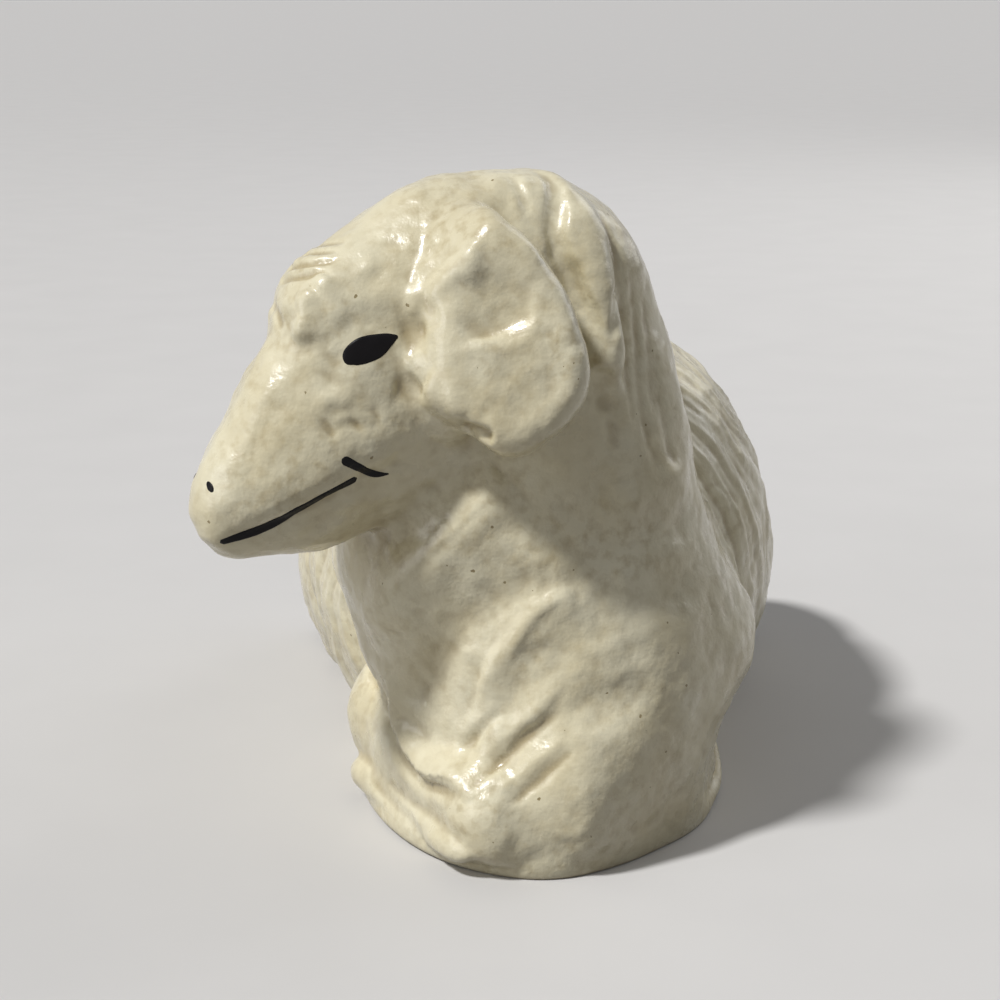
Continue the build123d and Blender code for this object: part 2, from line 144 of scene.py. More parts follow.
# The wool's waves: their lean up the body and how far they wander, then each kind's height and length.
# Each noise is a size and a seed
WOOL_LEAN = 0.35
WOOL_WANDER = 4.5
WOOL_WANDER_NOISE = (13.0, 1)
COARSE_HEIGHT = 0.32
COARSE_WAVE = 6.5
COARSE_LEAST = 0.6
COARSE_NOISE = (9.0, 2)
FINE_HEIGHT = 0.09
FINE_WAVE = 2.4
FINE_WANDER = 0.8
FINE_WANDER_NOISE = (5.0, 5)

# The hand-made unevenness of all the clay: height, size and seed
UNEVENNESS = (
    (0.35, 6.0, 3),
    (0.16, 2.4, 4),
    (0.09, 1.3, 6),
)
NOISE_CELLS = 64

# Nothing is carved below the first height, and all of it a fade above it
FOOT_PLAIN = 1.0
FOOT_FADE = 3.0

# What is carved: the share of the grid's band, the points on a path, a stroke's reach in its own widths,
# and the fade at its ends, which each take one part in so many
CARVED_SHARE = 0.8
PATH_POINTS = 60
STROKE_REACH = 2.6
STROKE_END = 3

# Each clay piece with the radius of the fillet that joins it to what was laid before it
CLAY_PIECES = (
    ("torso", 1.0),
    ("neck", 4.0),
    ("left_haunch", 1.5),
    ("right_haunch", 1.5),
    ("left_hind_foot", 1.5),
    ("right_hind_foot", 1.5),
    ("tail", 1.5),
    ("right_foreleg", 0.8),
    ("left_foreleg", 5.0),
    ("head", 3.0),
    ("left_ear", 1.0),
    ("right_ear", 1.0),
    ("forelock", 2.5),
    ("left_mane_lock", 1.5),
    ("right_mane_lock", 1.5),
    ("base_plate", 1.0),
)


def node_mesh(name):
    """A CAD node's points in millimetres and its triangles."""
    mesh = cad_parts[name].data
    points = np.empty(len(mesh.vertices) * 3, np.float32)
    mesh.vertices.foreach_get("co", points)
    mesh.calc_loop_triangles()
    triangles = np.empty(len(mesh.loop_triangles) * 3, np.int32)
    mesh.loop_triangles.foreach_get("vertices", triangles)
    return points.reshape(-1, 3) / MM, triangles.reshape(-1, 3)


def blend(table, corner, part):
    """Values between a table's entries, by linear interpolation from the eight round each place."""
    total = np.zeros(len(part))
    for dx, dy, dz in np.ndindex(2, 2, 2):
        weight = np.abs(1 - dx - part[:, 0]) * np.abs(1 - dy - part[:, 1])
        weight *= np.abs(1 - dz - part[:, 2])
        total += weight * table[corner[:, 0] + dx, corner[:, 1] + dy, corner[:, 2] + dz]
    return total


def rounding(first, second, radius):
    """How far a rounding moves the surface where two surfaces meet."""
    closeness = np.maximum(radius - np.abs(first - second), 0) / radius
    return closeness**2 * radius / 4


class Clay:
    """Distances to the clay's surface on a regular grid, below 0 inside."""

    def __init__(self, low, high):
        self.low = np.floor(np.array(low) / MM - GRID_MARGIN)
        span = np.array(high) / MM + GRID_MARGIN - self.low
        self.shape = tuple(int(n) for n in np.ceil(span / VOXEL) + 1)
        self.far = VOXEL * BAND_VOXELS
        self.distance = np.full(self.shape, self.far, np.float32)
        self.nearest = np.full(self.shape, self.far, np.float32)
        self.owner = np.zeros(self.shape, np.uint8)

    def level_set(self, name):
        """A node's own distances."""
        points, triangles = node_mesh(name)
        grid = openvdb.FloatGrid.createLevelSetFromPolygons(
            (points - self.low).astype(np.float32),
            triangles=triangles.astype(np.uint32),
            transform=openvdb.createLinearTransform(VOXEL),
            halfWidth=BAND_VOXELS,
        )
        distances = np.empty(self.shape, np.float32)
        grid.copyToArray(distances)
        return distances

    def offsets(self, middle):
        """The grid's places along each axis, from the middle, shaped to add up over the grid."""
        for axis, count in enumerate(self.shape):
            line = [1, 1, 1]
            line[axis] = count
            offset = self.low[axis] + VOXEL * np.arange(count) - middle[axis]
            yield offset.astype(np.float32).reshape(line)

    def along(self, middle, direction):
        """How far each grid place lies from the middle in one direction."""
        return sum(offset * np.float32(part) for offset, part in zip(self.offsets(middle), direction))

    def radius(self, middle, half_sizes):
        """Each grid place's distance from the middle of an egg, which is 1 on the egg itself."""
        shares = (offset / np.float32(half) for offset, half in zip(self.offsets(middle), half_sizes))
        return np.sqrt(sum(share**2 for share in shares))

    def join(self, piece, fillet):
        """Adds a form to the clay, with a fillet where they meet."""
        swell = rounding(self.distance, piece, fillet)
        swell[np.maximum(self.distance, piece) >= self.far] = 0
        self.distance = np.minimum(self.distance, piece) - swell

    def add(self, index, name, fillet):
        """Lays one node on the clay with a fillet, and notes which node each place belongs to."""
        piece = self.level_set(name)
        self.owner[piece < self.nearest] = index
        self.nearest = np.minimum(self.nearest, piece)
        if name.endswith("_ear"):
            share = self.along(HEAD_PLACE, EAR_FILLET_DIRECTION) - EAR_FILLET_START
            share = np.clip(share / (EAR_FILLET_END - EAR_FILLET_START), 0, 1)
            fillet = fillet + (EAR_FRONT_FILLET - fillet) * share * share * (3 - 2 * share)
        self.join(piece, fillet)

    def fill(self, middle, half_sizes, fillet):
        """Presses an egg of clay into the gaps round it."""
        egg = (self.radius(middle, half_sizes) - 1) * half_sizes.min()
        self.join(np.clip(egg, -self.far, self.far), fillet)

    def trim(self, place, outward, edge_radius):
        """Cuts away what lies beyond a plane, with rounded edges."""
        beyond = self.along(place, outward / np.linalg.norm(outward))
        worn = rounding(self.distance, beyond, edge_radius)
        self.distance = np.maximum(self.distance, beyond) + worn

    def soften(self, size, share=1.0):
        """Rounds every edge, everywhere alike or by a share at each grid place."""
        sharp = self.distance
        reach = int(np.ceil(BLUR_REACH * size / VOXEL))
        steps = np.arange(-reach, reach + 1)
        weights = np.exp(-0.5 * (steps * VOXEL / size) ** 2)
        weights /= weights.sum()
        for axis in range(3):
            blurred = np.zeros_like(self.distance)
            for step, weight in zip(steps, weights):
                blurred += np.float32(weight) * np.roll(self.distance, step, axis)
            self.distance = blurred
        self.distance = sharp + share * (self.distance - sharp)

    def sample(self, points):
        """Distances at any points, by linear interpolation."""
        place = (points - self.low) / VOXEL
        corner = np.clip(np.floor(place).astype(np.int64), 0, np.array(self.shape) - 2)
        return blend(self.distance, corner, np.clip(place - corner, 0, 1))

    def normals(self, points):
        """Outward directions."""
        slope = np.empty((len(points), 3))
        for axis in range(3):
            step = np.zeros(3)
            step[axis] = VOXEL
            slope[:, axis] = self.sample(points + step) - self.sample(points - step)
        length = np.linalg.norm(slope, axis=1, keepdims=True)
        return slope / np.maximum(length, TINY)

    def hollows(self, points):
        """How far each point lies in a hollow, from 0 to 1, by the mean of six places round it."""
        around = np.zeros(len(points))
        for axis in range(3):
            step = np.zeros(3)
            step[axis] = HOLLOW_REACH
            around += self.sample(points + step) + self.sample(points - step)
        return np.clip((self.sample(points) - around / 6) / HOLLOW_DEPTH, 0, 1)

    def snap(self, points, rounds=4):
        """Moves points onto the surface."""
        for _ in range(rounds):
            points = points - self.sample(points)[:, None] * self.normals(points)
        return points

    def hit(self, pixels):
        """Where the photograph's rays through these pixels meet the surface."""
        offset = (np.array(pixels, float) - IMAGE_SIZE / 2) / FOCAL_PIXELS
        rays = CAMERA_FORWARD + offset[:, :1] * CAMERA_RIGHT - offset[:, 1:] * CAMERA_UP
        rays /= np.linalg.norm(rays, axis=1, keepdims=True)
        start = -CAMERA_PLACE[1] + self.low[1]
        travel = np.full(len(rays), start)
        for _ in range(RAY_STEPS):
            gap = self.sample(CAMERA_PLACE + travel[:, None] * rays)
            travel += np.clip(gap, RAY_BACK, RAY_AHEAD) * RAY_SHARE
        return CAMERA_PLACE + travel[:, None] * rays


def smooth_path(points, count):
    """Points along a smooth curve through the given ones."""
    points = np.array(points, float)
    padded = np.vstack((2 * points[0] - points[1], points, 2 * points[-1] - points[-2]))
    places = np.linspace(0, len(points) - 1, count)
    result = []
    for place in places:
        start = min(int(place), len(points) - 2)
        t = place - start
        a, b, c, d = padded[start:start + 4]
        slope = (c - a) * t
        bend = (2 * a - 5 * b + 4 * c - d) * t**2
        twist = (3 * b - a - 3 * c + d) * t**3
        result.append(0.5 * (2 * b + slope + bend + twist))
    return np.array(result)


def mirrored(points):
    """The same places on the other side of the head."""
    aside = (points - HEAD_PLACE) @ HEAD_LEFT
    return points - 2 * aside[:, None] * HEAD_LEFT


def lattice_noise(points, size, seed):
    """Smooth random values from -1 to 1 that change over the given size."""
    table = np.random.default_rng(seed).uniform(-1, 1, (NOISE_CELLS,) * 3)
    place = points / size
    corner = np.floor(place).astype(np.int64)
    part = place - corner
    part = part * part * (3 - 2 * part)
    return blend(np.pad(table, (0, 1), mode="wrap"), corner % NOISE_CELLS, part)


# Tool strokes: a path in photograph pixels, then in millimetres the half widths to the left and right of its
# travel and the height, below 0 for a groove
CHEST_STROKES = (
    (((510, 482), (452, 538), (402, 590), (364, 630)), 3.2, 4.5, 2.2),
    (((545, 566), (492, 603), (450, 642), (426, 680), (415, 712)), 3.0, 2.6, -1.5),
    (((622, 582), (595, 590), (570, 600)), 2.2, 2.2, -0.6),
    (((650, 634), (612, 656), (575, 680)), 2.2, 2.2, -0.6),
    (((655, 682), (620, 705), (585, 728)), 2.2, 2.2, -0.6),
    (((570, 592), (533, 617), (517, 644), (496, 680)), 0.7, 1.5, 0.35),
    (((498, 706), (475, 727), (456, 742)), 0.7, 1.2, 0.45),
    (((562, 684), (533, 717), (500, 744), (462, 778)), 0.7, 1.4, 0.45),
    (((566, 706), (530, 736), (498, 766), (470, 790)), 0.7, 0.7, -0.4),
    (((566, 738), (530, 769), (498, 796)), 0.7, 1.3, 0.5),
    (((576, 748), (540, 780), (508, 806)), 0.7, 0.7, -0.4),
)
FORELEG_STROKES = (
    (((372, 664), (390, 684), (396, 714), (405, 745), (422, 772), (438, 779), (452, 782), (473, 803)),
     2.2, 0.5, 1.6),
    (((366, 676), (382, 692), (388, 718), (398, 752), (418, 781), (438, 789), (456, 797)), 0.7, 1.0, -1.2),
    (((368, 772), (383, 796), (406, 820), (419, 838), (427, 856)), 0.9, 0.9, -1.0),
)
NECK_STROKES = (
    (((617, 235), (622, 280), (625, 330), (630, 385), (637, 425)), 0.8, 0.8, -0.6),
    (((629, 262), (636, 310), (640, 365), (646, 420), (654, 460)), 0.8, 0.8, -0.5),
    (((643, 290), (648, 330), (652, 380), (659, 430)), 0.8, 0.8, -0.4),
    (((654, 340), (659, 390), (667, 440), (677, 480)), 0.8, 0.8, -0.3),
    (((604, 372), (609, 410), (616, 455)), 1.2, 1.2, -0.6),
    (((560, 622), (640, 565), (700, 545)), 2.0, 3.0, 0.7),
    (((600, 525), (660, 480), (690, 468)), 2.0, 3.0, 0.7),
    (((570, 680), (650, 625), (712, 605)), 2.0, 3.0, 0.6),
)
MANE_STROKES = (
    (((536, 170), (553, 182), (556, 204), (555, 230), (563, 260), (579, 293), (594, 326), (606, 360)),
     1.0, 1.0, -1.5),
    (((597, 208), (611, 238), (618, 272), (618, 312), (611, 352)), 0.8, 0.8, -0.9),
    (((511, 172), (520, 190), (530, 215)), 0.7, 0.7, -0.4),
    (((606, 368), (608, 390), (608, 415)), 1.6, 1.6, -1.6),
)
EAR_STROKES = (
    (((425, 305), (443, 283), (462, 262), (485, 236)), 1.4, 1.2, 0.6),
    (((458, 352), (480, 344), (511, 333), (540, 318)), 0.6, 2.2, 0.45),
    (((461, 427), (478, 433), (494, 440)), 0.8, 0.8, -1.8),
    (((462, 282), (470, 268), (482, 256)), 1.8, 1.8, 0.7),
)
FACE_STROKES = (
    (((232, 528), (300, 493), (370, 452), (430, 425)), 5.0, 2.2, 1.2),
    (((340, 310), (370, 298), (400, 296), (420, 306)), 1.6, 1.6, 0.5),
    (((398, 337), (411, 334), (425, 331)), 2.0, 2.0, -0.8),
    (((393, 386), (407, 388), (418, 380)), 2.2, 2.2, -0.6),
    (((331, 350), (334, 368), (329, 385)), 1.8, 1.8, -0.4),
    (((283, 362), (263, 402), (240, 450), (222, 478)), 1.5, 1.5, 0.35),
    (((316, 408), (334, 399), (354, 402)), 1.1, 1.1, 0.5),
    (((330, 424), (352, 416), (376, 420)), 0.6, 0.6, 0.25),
    (((334, 440), (352, 432), (370, 438)), 0.6, 0.6, 0.25),
    (((320, 416), (329, 430), (336, 444)), 0.6, 0.6, -0.35),
    (((350, 412), (357, 428), (358, 444)), 0.5, 0.5, -0.25),
    (((372, 408), (377, 420), (372, 432)), 0.5, 0.5, -0.25),
    (((424, 384), (444, 404), (464, 420)), 2.2, 2.2, 0.9),
    (((224, 541), (290, 515), (357, 478)), 0.8, 0.8, -0.4),
    (((342, 459), (362, 469), (388, 474)), 0.7, 0.7, -0.3),
)
FORELOCK_STROKES = (
    (((296, 250), (320, 244), (348, 240)), 0.5, 0.5, -0.6),
    (((284, 260), (308, 254), (340, 250)), 0.5, 0.5, -0.7),
    (((278, 271), (304, 266), (340, 260)), 0.5, 0.5, -0.7),
    (((272, 283), (298, 278), (326, 272)), 0.5, 0.5, -0.6),
    (((316, 290), (322, 283), (328, 276)), 1.4, 1.4, 0.5),
    (((298, 304), (306, 297), (314, 290)), 1.4, 1.4, 0.5),
    (((330, 322), (338, 316), (346, 312)), 1.2, 1.2, 0.4),
    (((292, 337), (300, 331), (307, 324)), 1.2, 1.2, 0.5),
    (((268, 300), (276, 312), (282, 330)), 0.7, 0.7, -0.6),
)
STROKE_SETS = (
    (CHEST_STROKES, False),
    (FORELEG_STROKES, False),
    (NECK_STROKES, False),
    (MANE_STROKES, True),
    (EAR_STROKES, True),
    (FACE_STROKES, True),
    (FORELOCK_STROKES, False),
)


def stroke_height(clay, places, path, left, right, height):
    """What one stroke adds at each place: full along its path, fading to both sides and at its ends."""
    reach = STROKE_REACH * max(left, right)
    close = np.all((places > path.min(0) - reach) & (places < path.max(0) + reach), axis=1)
    near = places[close]
    to_left = np.cross(clay.normals(path), np.gradient(path, axis=0))
    best = np.full(len(near), np.inf)
    along = np.zeros(len(near))
    width = np.full(len(near), left)
    for index, point in enumerate(path):
        offset = near - point
        gap = (offset**2).sum(1)
        better = gap < best
        best[better] = gap[better]
        along[better] = index / (len(path) - 1)
        width[better] = np.where(offset[better] @ to_left[index] > 0, left, right)
    ends = np.clip(STROKE_END * along, 0, 1) * np.clip(STROKE_END * (1 - along), 0, 1)
    result = np.zeros(len(places), np.float32)
    result[close] = height * ends * (2 - ends) * np.exp(-best / width**2)
    return result


def build_clay():
    """The clay before carving: nodes joined, gaps filled, the corner trimmed, edges rounded."""
    clay = Clay(*cad_box)
    for index, (name, fillet) in enumerate(CLAY_PIECES):
        clay.add(index, name, fillet)
    clay.fill(FILLER_PLACE, FILLER_SIZES, FILLER_FILLET)
    clay.trim(CORNER_PLACE, CORNER_OUTWARD, CORNER_ROUNDING)
    eggs = [(np.mean(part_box("forelock"), axis=0) / MM, TUFT_SIZES)]
    for pixel, reach, both_sides in SMOOTHED_PLACES:
        place = clay.hit([pixel])
        eggs.append((place[0], np.full(3, reach)))
        if both_sides:
            eggs.append((mirrored(place)[0], np.full(3, reach)))
    nearness = np.min([clay.radius(middle, half_sizes) for middle, half_sizes in eggs], axis=0)
    clay.soften(FINGER_ROUNDING, np.clip(FINGER_FADE * (1 - nearness), 0, 1))
    clay.soften(GLAZE_ROUNDING)
    return clay


def wool_ripple(places):
    """The height of the wool's coarse and fine waves, which run round the body and wander."""
    wander = WOOL_WANDER * lattice_noise(places, *WOOL_WANDER_NOISE)
    across = places[:, 1] + WOOL_LEAN * places[:, 2] + wander
    strength = COARSE_LEAST + (1 - COARSE_LEAST) * lattice_noise(places, *COARSE_NOISE)
    coarse = COARSE_HEIGHT * np.sin(2 * np.pi * across / COARSE_WAVE) * strength
    stirred = across + FINE_WANDER * lattice_noise(places, *FINE_WANDER_NOISE)
    return coarse + FINE_HEIGHT * np.sin(2 * np.pi * stirred / FINE_WAVE)


def carve(clay):
    """Adds the tool strokes, the wool and the hand-made unevenness, and cuts the clay level at the floor."""
    skin = np.argwhere(np.abs(clay.distance) < clay.far * CARVED_SHARE)
    places = clay.low + skin * VOXEL
    height = np.zeros(len(places), np.float32)
    for table, both_sides in STROKE_SETS:
        for pixels, left, right, size in table:
            path = clay.hit(smooth_path(pixels, PATH_POINTS))
            height += stroke_height(clay, places, path, left, right, size)
            if both_sides:
                height += stroke_height(clay, places, clay.snap(mirrored(path)), right, left, size)
    owners = clay.owner[skin[:, 0], skin[:, 1], skin[:, 2]]
    woolly = np.array([WOOL_SHARES.get(name, 0.0) for name, _ in CLAY_PIECES])[owners]
    height += wool_ripple(places) * woolly
    for tall, size, seed in UNEVENNESS:
        height += tall * lattice_noise(places, size, seed)
    height *= np.clip((places[:, 2] - FOOT_PLAIN) / FOOT_FADE, 0, 1)
    clay.distance[skin[:, 0], skin[:, 1], skin[:, 2]] -= height
    floor = clay.low[2] + VOXEL * np.arange(clay.shape[2])
    clay.distance = np.maximum(clay.distance, -floor[None, None, :].astype(np.float32))


def skin_mesh(clay):
    """The whole skin as points, quads, outward normals and each quad's node."""
    grid = openvdb.FloatGrid(clay.far)
    grid.copyFromArray(clay.distance)
    grid.transform = openvdb.createLinearTransform(VOXEL)
    points, quads = grid.convertToQuads(isovalue=0)
    points = clay.snap(points.astype(float) + clay.low, rounds=2)
    normals = clay.normals(points)
    quads = quads.astype(np.int64)
    corner = points[quads]
    facing = np.cross(corner[:, 2] - corner[:, 0], corner[:, 3] - corner[:, 1])
    if (facing * normals[quads[:, 0]]).sum() < 0:
        quads = quads[:, ::-1]
    middle = points[quads].mean(1)
    place = np.rint((middle - clay.low) / VOXEL).astype(np.int64)
    place = np.clip(place, 0, np.array(clay.shape) - 1)
    owners = clay.owner[place[:, 0], place[:, 1], place[:, 2]].astype(np.int64)
    return points, quads, normals, settle(quads, owners, len(points))


def settle(quads, owners, point_count, rounds=12):
    """Straightens the seams between nodes: each quad goes with most of the quads round it."""
    kinds = int(owners.max()) + 1
    for _ in range(rounds):
        votes = np.zeros((point_count, kinds), np.int16)
        for corner in range(4):
            np.add.at(votes, (quads[:, corner], owners), 1)
        owners = votes[quads].sum(1).argmax(1)
    return owners


def add_object(name, data):
    """A new object in the scene."""
    made = bpy.data.objects.new(name, data)
    bpy.context.scene.collection.objects.link(made)
    return made


def add_piece(name, points, faces, material):
    """A smooth object from points in millimetres."""
    mesh = bpy.data.meshes.new(name)
    mesh.from_pydata((points * MM).tolist(), [], faces)
    mesh.polygons.foreach_set("use_smooth", np.ones(len(faces), bool))
    mesh.update()
    mesh.materials.append(material)
    return add_object(name, mesh)


def shell_piece(name, points, normals, hollows, quads, material):
    """A closed shell: the skin's quads, an inner wall, and a rim round the seam."""
    used, local = np.unique(quads, return_inverse=True)
    local = local.reshape(-1, 4)
    outer = points[used]
    inner = outer - WALL * normals[used]
    count = len(used)
    edges = np.stack((local, np.roll(local, -1, axis=1)), axis=2).reshape(-1, 2)
    keys = {tuple(edge) for edge in edges.tolist()}
    rim = [(b, a, a + count, b + count) for a, b in edges.tolist() if (b, a) not in keys]
    faces = local.tolist() + (local[:, ::-1] + count).tolist() + rim
    piece = add_piece(name, np.vstack((outer, inner)), faces, material)
    both_sides = np.vstack((normals[used], -normals[used]))
    piece.data.normals_split_custom_set_from_vertices(both_sides.tolist())
    hollow = piece.data.attributes.new("hollow", "FLOAT", "POINT")
    hollow.data.foreach_set("value", np.tile(hollows[used], 2))
    return piece


# The shader that a new material and a new world start with
SURFACE = "Principled BSDF"
BACKGROUND = "Background"


class Paint:
    """The nodes of a material, or of the world, in the making."""

    def __init__(self, owner, shader=SURFACE):
        owner.use_nodes = True
        self.owner = owner
        self.tree = owner.node_tree
        self.shader = self.tree.nodes[shader]

    def supply(self, node, inputs):
        """Links or sets a node's inputs, which are given by name, or by number as in i0."""
        for key, value in inputs.items():
            numbered = key[0] == "i" and key[1:].isdigit()
            socket = node.inputs[int(key[1:]) if numbered else key.replace("_", " ")]
            if isinstance(value, bpy.types.NodeSocket):
                self.tree.links.new(value, socket)
            else:
                socket.default_value = value

    def node(self, kind, settings=(), **inputs):
        """A new node."""
        made = self.tree.nodes.new(kind)
        for key, value in dict(settings).items():
            setattr(made, key, value)
        self.supply(made, inputs)
        return made

    def surface(self, **inputs):
        """Supplies the shader that the tree started with."""
        self.supply(self.shader, inputs)

    def place(self):
        """Each point's place on the object, in metres."""
        return self.node("ShaderNodeTexCoord").outputs["Object"]

    def noise(self, place, scale, detail=3.0):
        """A cloudy pattern from 0 to 1, with so many features in a metre."""
        return self.node("ShaderNodeTexNoise", Vector=place, Scale=scale, Detail=detail).outputs["Fac"]

    def calculate(self, operation, *values):
        """The outcome of a sum."""
        inputs = {f"i{index}": value for index, value in enumerate(values)}
        return self.node("ShaderNodeMath", {"operation": operation}, **inputs).outputs[0]

    def steps(self, value, low, high, low_grey=0.0, high_grey=1.0):
        """Greys from one to the other, while the value goes from low to high."""
        ramp = self.node("ShaderNodeValToRGB", Fac=value)
        for index, (position, grey) in enumerate(((low, low_grey), (high, high_grey))):
            element = ramp.color_ramp.elements[index]
            element.position = position
            element.color = (grey, grey, grey, 1)
        return ramp.outputs["Color"]

    def mix(self, share, first, second):
        """The first colour where the share is 0, the second where it is 1."""
        made = self.node("ShaderNodeMix", {"data_type": "RGBA"}, i0=share, i6=first, i7=second)
        return made.outputs[2]

    def bump(self, height, strength, depth, sunk=False, **under):
        """Normals of a relief of the given depth in metres, laid over the normals under it."""
        settings = {"invert": sunk}
        made = self.node("ShaderNodeBump", settings, Strength=strength, Distance=depth, Height=height, **under)
        return made.outputs["Normal"]

    def seen_directly(self):
        """1 for what the camera sees, also mirrored or through something clear, and 0 for all other light."""
        rays = self.node("ShaderNodeLightPath").outputs
        direct = self.calculate("MAXIMUM", rays["Is Camera Ray"], rays["Is Glossy Ray"])
        return self.calculate("MAXIMUM", direct, rays["Is Transmission Ray"])


def colour(code):
    """A linear colour from a six-figure code."""
    parts = [int(code[i:i + 2], 16) / 255 for i in (0, 2, 4)]
    return tuple(p / 12.92 if p <= 0.04045 else ((p + 0.055) / 1.055) ** 2.4 for p in parts) + (1.0,)


# Colours
GLAZE_PALE = colour("E4DCBF")
GLAZE_DEEP = colour("D6CBA9")
GLAZE_MOTTLE = colour("B5A57D")
# Brown for the hollows: glaze that pools there, and painted shade in creases and grooves
POOLED_GLAZE_AND_SHADE = colour("9D8B62")
GLAZE_PINHOLE = colour("94855F")
CLAY_PALE = colour("DAD0B6")
CLAY_DEEP = colour("BFB295")
CLAY_ROUGHNESS = (0.85, 0.85, 0.85, 1)
ENAMEL_BLACK = colour("070607")
ENAMEL_WORN = colour("131012")
FLOOR_PALE = colour("D6D4D2")
FLOOR_DEEP = colour("D0CECC")
FLOOR_UNSEEN = colour("7C7A78")
AMBIENT_COLOUR = (0.80, 0.82, 0.86, 1)
AMBIENT_STRENGTH = 0.15
BACKDROP_COLOUR = (0.52, 0.52, 0.53, 1)

# Patterns, in features to the metre
CLOUD_SCALE = 110
PATCH_SCALE = 75
GRAIN_SCALE = 640
STIR_SCALE = 1500
PINHOLE_SCALE = 480
GLOSS_SCALE = 260
RIPPLE_SCALE = 330
GRIT_SCALE = 1300
RAGGED_SCALE = 300
CLAY_SCALE = 500
ENAMEL_SCALE = 700
BRUSH_SCALE = 900
FLOOR_SCALE = 40

# Small sizes in metres: how far the pinholes are stirred, the depths of the reliefs, and the edge of the
# glaze on the base, with its raggedness
STIR_REACH = (0.0005, 0.0005, 0.0005)
RIPPLE_DEPTH = 0.0003
GRIT_DEPTH = 0.00016
PIT_DEPTH = 0.00015
BRUSH_DEPTH = 0.0001
GLAZE_EDGE = 0.0007
GLAZE_EDGE_RAGGED = 0.0008

# The widest pinhole as a share of its cell
PINHOLE_REACH = 0.10


def lay_glaze(paint, place):
    """The glaze's colour, roughness and normal: cloudy cream, browner in the hollows, where glaze pools and as
    painted shade, with pinholes.
    """
    cloud = paint.steps(paint.noise(place, CLOUD_SCALE), 0.35, 0.70)
    body = paint.mix(cloud, GLAZE_PALE, GLAZE_DEEP)
    patches = paint.steps(paint.noise(place, PATCH_SCALE, 2), 0.38, 0.66, 0.3, 1.0)
    grain = paint.steps(paint.noise(place, GRAIN_SCALE, 4), 0.46, 0.74, 0.0, 0.75)
    body = paint.mix(paint.calculate("MULTIPLY", patches, grain), body, GLAZE_MOTTLE)
    hollow = paint.node("ShaderNodeAttribute", {"attribute_name": "hollow"}).outputs["Fac"]
    # Browner the deeper a hollow is: pooled glaze, and painted shade that darkens creases and grooves
    body = paint.mix(paint.steps(hollow, 0.1, 1.0, 0.0, 0.65), body, POOLED_GLAZE_AND_SHADE)
    stir = paint.node("ShaderNodeTexNoise", Vector=place, Scale=STIR_SCALE, Detail=2.0).outputs["Color"]
    scaled_sum = {"operation": "MULTIPLY_ADD"}
    stirred = paint.node("ShaderNodeVectorMath", scaled_sum, i0=stir, i1=STIR_REACH, i2=place)
    cells = paint.node("ShaderNodeTexVoronoi", Vector=stirred.outputs[0], Scale=PINHOLE_SCALE)
    chosen = paint.steps(cells.outputs["Color"], 0.58, 0.85)
    reach = paint.calculate("MULTIPLY", chosen, PINHOLE_REACH)
    pinhole = paint.calculate("LESS_THAN", cells.outputs["Distance"], reach)
    body = paint.mix(pinhole, body, GLAZE_PINHOLE)
    gloss = paint.steps(paint.noise(place, GLOSS_SCALE), 0.3, 0.75, 0.20, 0.46)
    ripple = paint.bump(paint.noise(place, RIPPLE_SCALE), 0.4, RIPPLE_DEPTH)
    grit = paint.bump(paint.noise(place, GRIT_SCALE, 2), 0.45, GRIT_DEPTH, Normal=ripple)
    paint.surface(Normal=paint.bump(pinhole, 0.5, PIT_DEPTH, sunk=True, Normal=grit))
    return body, gloss


def cream_glaze():
    """The glaze on all of the figure but its base."""
    paint = Paint(bpy.data.materials.new("cream_glaze"))
    body, gloss = lay_glaze(paint, paint.place())
    paint.surface(Base_Color=body, Roughness=gloss, Coat_Weight=0.3, Coat_Roughness=0.09)
    return paint.owner


def bare_clay():
    """The base: glazed round its rim, wiped bare underneath."""
    paint = Paint(bpy.data.materials.new("bare_clay"))
    place = paint.place()
    body, gloss = lay_glaze(paint, place)
    level = paint.node("ShaderNodeSeparateXYZ", Vector=place).outputs["Z"]
    ragged = paint.calculate("MULTIPLY_ADD", paint.noise(place, RAGGED_SCALE), GLAZE_EDGE_RAGGED, level)
    glazed = paint.calculate("GREATER_THAN", ragged, GLAZE_EDGE)
    clay = paint.mix(paint.noise(place, CLAY_SCALE, 4), CLAY_PALE, CLAY_DEEP)
    roughness = paint.mix(glazed, CLAY_ROUGHNESS, gloss)
    paint.surface(Base_Color=paint.mix(glazed, clay, body), Roughness=roughness)
    return paint.owner


def black_enamel():
    """The face's brush strokes."""
    paint = Paint(bpy.data.materials.new("black_enamel"))
    place = paint.place()
    body = paint.mix(paint.noise(place, ENAMEL_SCALE), ENAMEL_BLACK, ENAMEL_WORN)
    brushed = paint.bump(paint.noise(place, BRUSH_SCALE, 2), 0.2, BRUSH_DEPTH)
    paint.surface(Base_Color=body, Roughness=0.4, Specular_IOR_Level=0.15, Normal=brushed)
    return paint.owner


# Enamel strokes: a path in photograph pixels and the half widths along it in millimetres
ENAMEL_STROKES = {
    "eye": (
        ((345, 363), (351, 357), (362, 351), (376, 346), (388, 340), (398, 336)),
        (0.8, 1.25, 1.62, 1.5, 0.9, 0.15),
    ),
    "mouth_line": (((220, 543), (262, 528), (310, 503), (357, 478)), (0.40, 0.66, 0.64, 0.52)),
    "cheek_stroke": (((342, 459), (362, 469), (376, 474), (389, 474)), (0.6, 0.55, 0.45, 0.1)),
    "nostril": (((207, 482), (210, 487), (213, 492)), (0.25, 0.45, 0.25)),
}

# The enamel's points along and across a stroke, its height as a share of its half width, how much lower its
# edges are, its greatest height above the skin, its depth under it, and the least that is left at its ends
ENAMEL_POINTS = 61
ENAMEL_ROWS = 13
ENAMEL_RISE_SHARE = 0.2
ENAMEL_EDGE_FALL = 0.8
ENAMEL_RISE = 0.12
ENAMEL_DEPTH = 0.3
THIN = 0.02


